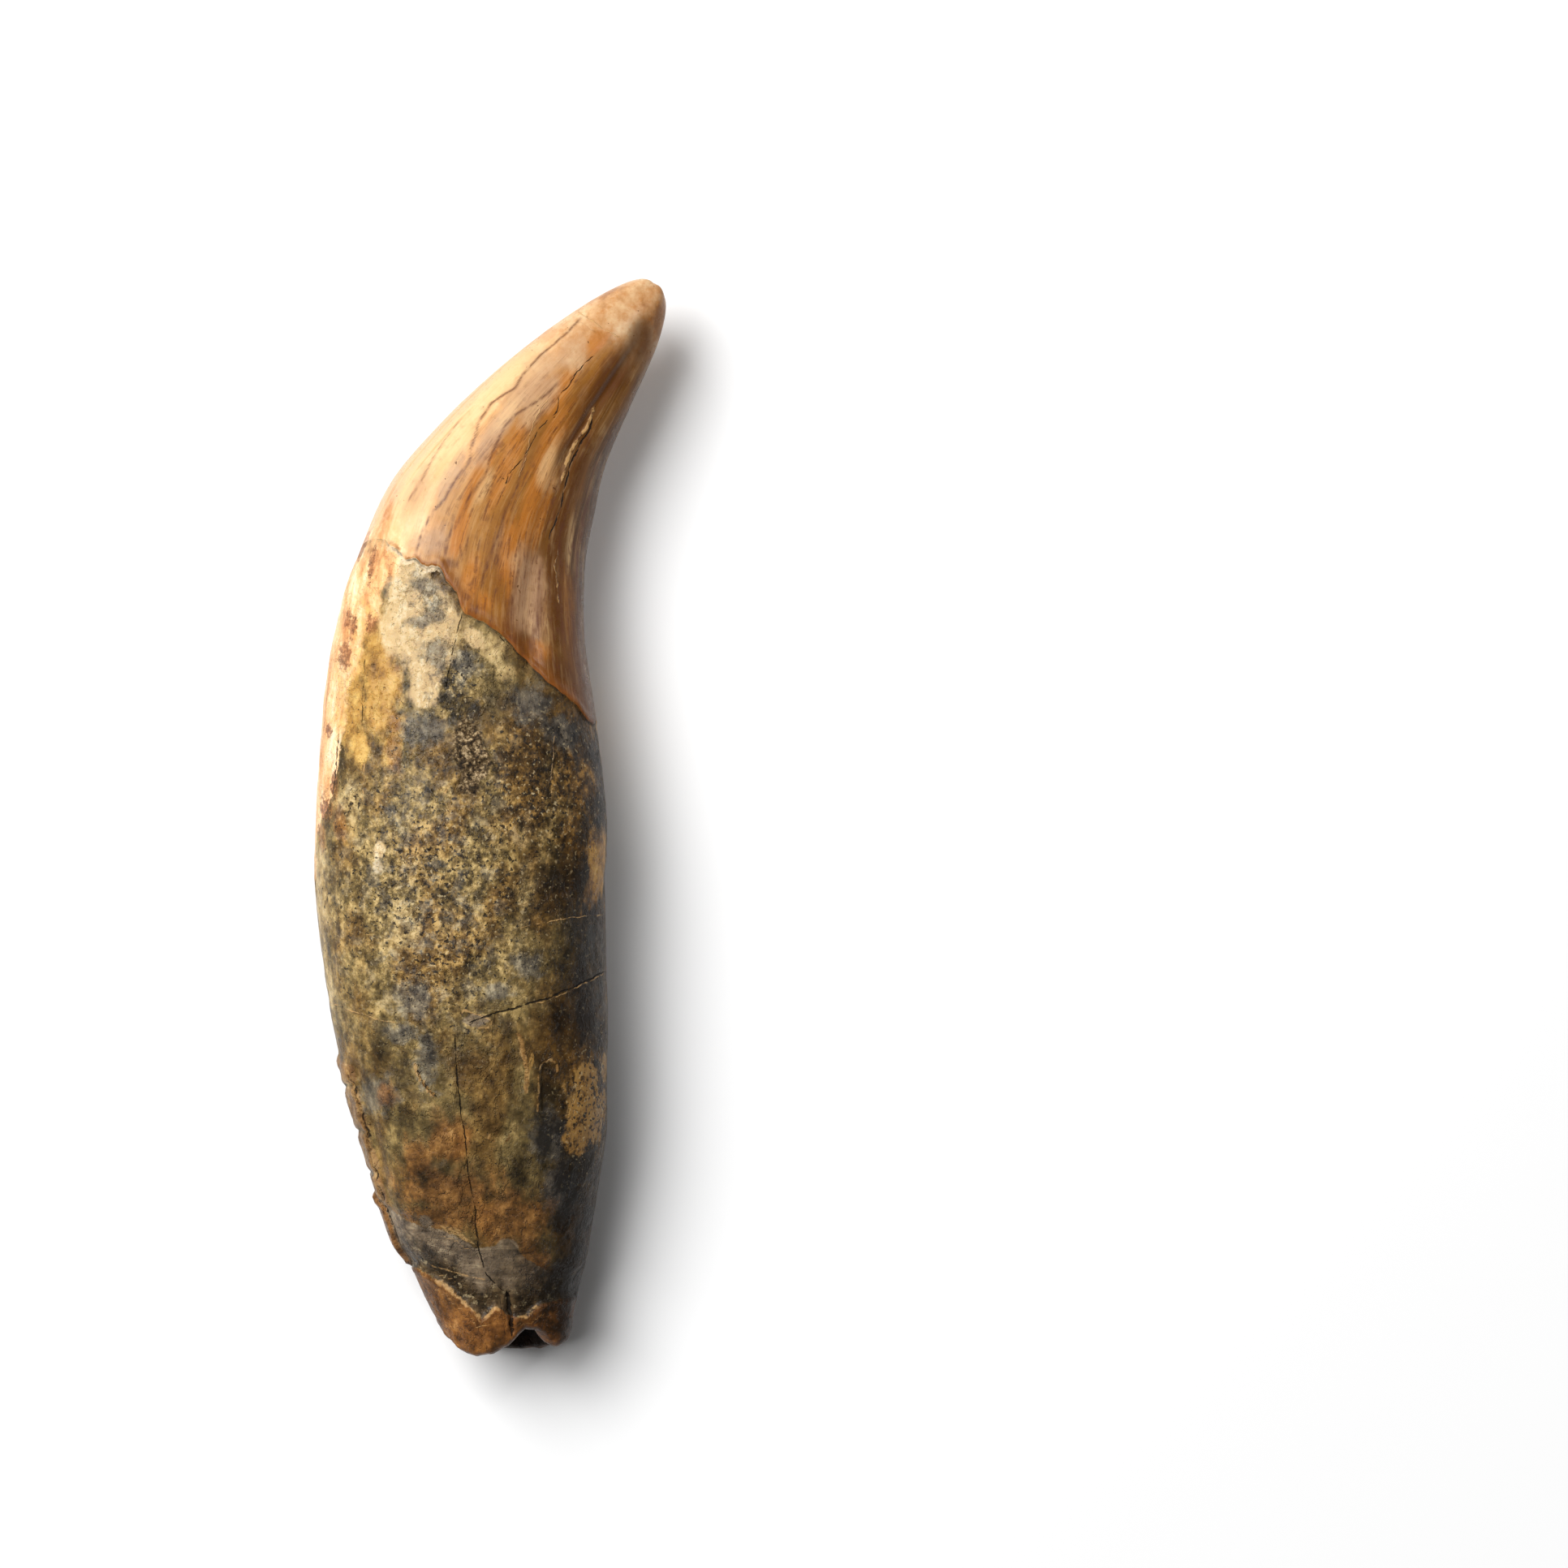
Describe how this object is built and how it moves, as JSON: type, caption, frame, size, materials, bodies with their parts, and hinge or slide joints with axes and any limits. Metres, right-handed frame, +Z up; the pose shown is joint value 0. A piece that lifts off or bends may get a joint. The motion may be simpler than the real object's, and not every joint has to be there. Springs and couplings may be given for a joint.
{
  "type": "fossil cave bear tooth",
  "caption": "Long curved canine tooth of a cave bear with a worn glossy crown and a swollen, stained root broken open at its end, lying on its side.",
  "frame": {"origin": "on the resting surface, under the middle of the tooth's box", "axes": "+Y runs along the tooth towards the crown's tip, +X points to the concave side, +Z is up, through the thinnest direction"},
  "size_m": [0.0313, 0.0964, 0.0191],
  "materials": {
    "fossil_tooth": "glossy amber and cream enamel on the crown; satin olive-brown root with dark mineral specks, rusty stains and fine cracks"
  },
  "bodies": {
    "root": {"canine_tooth": "fossil_tooth"}
  },
  "joints": []
}
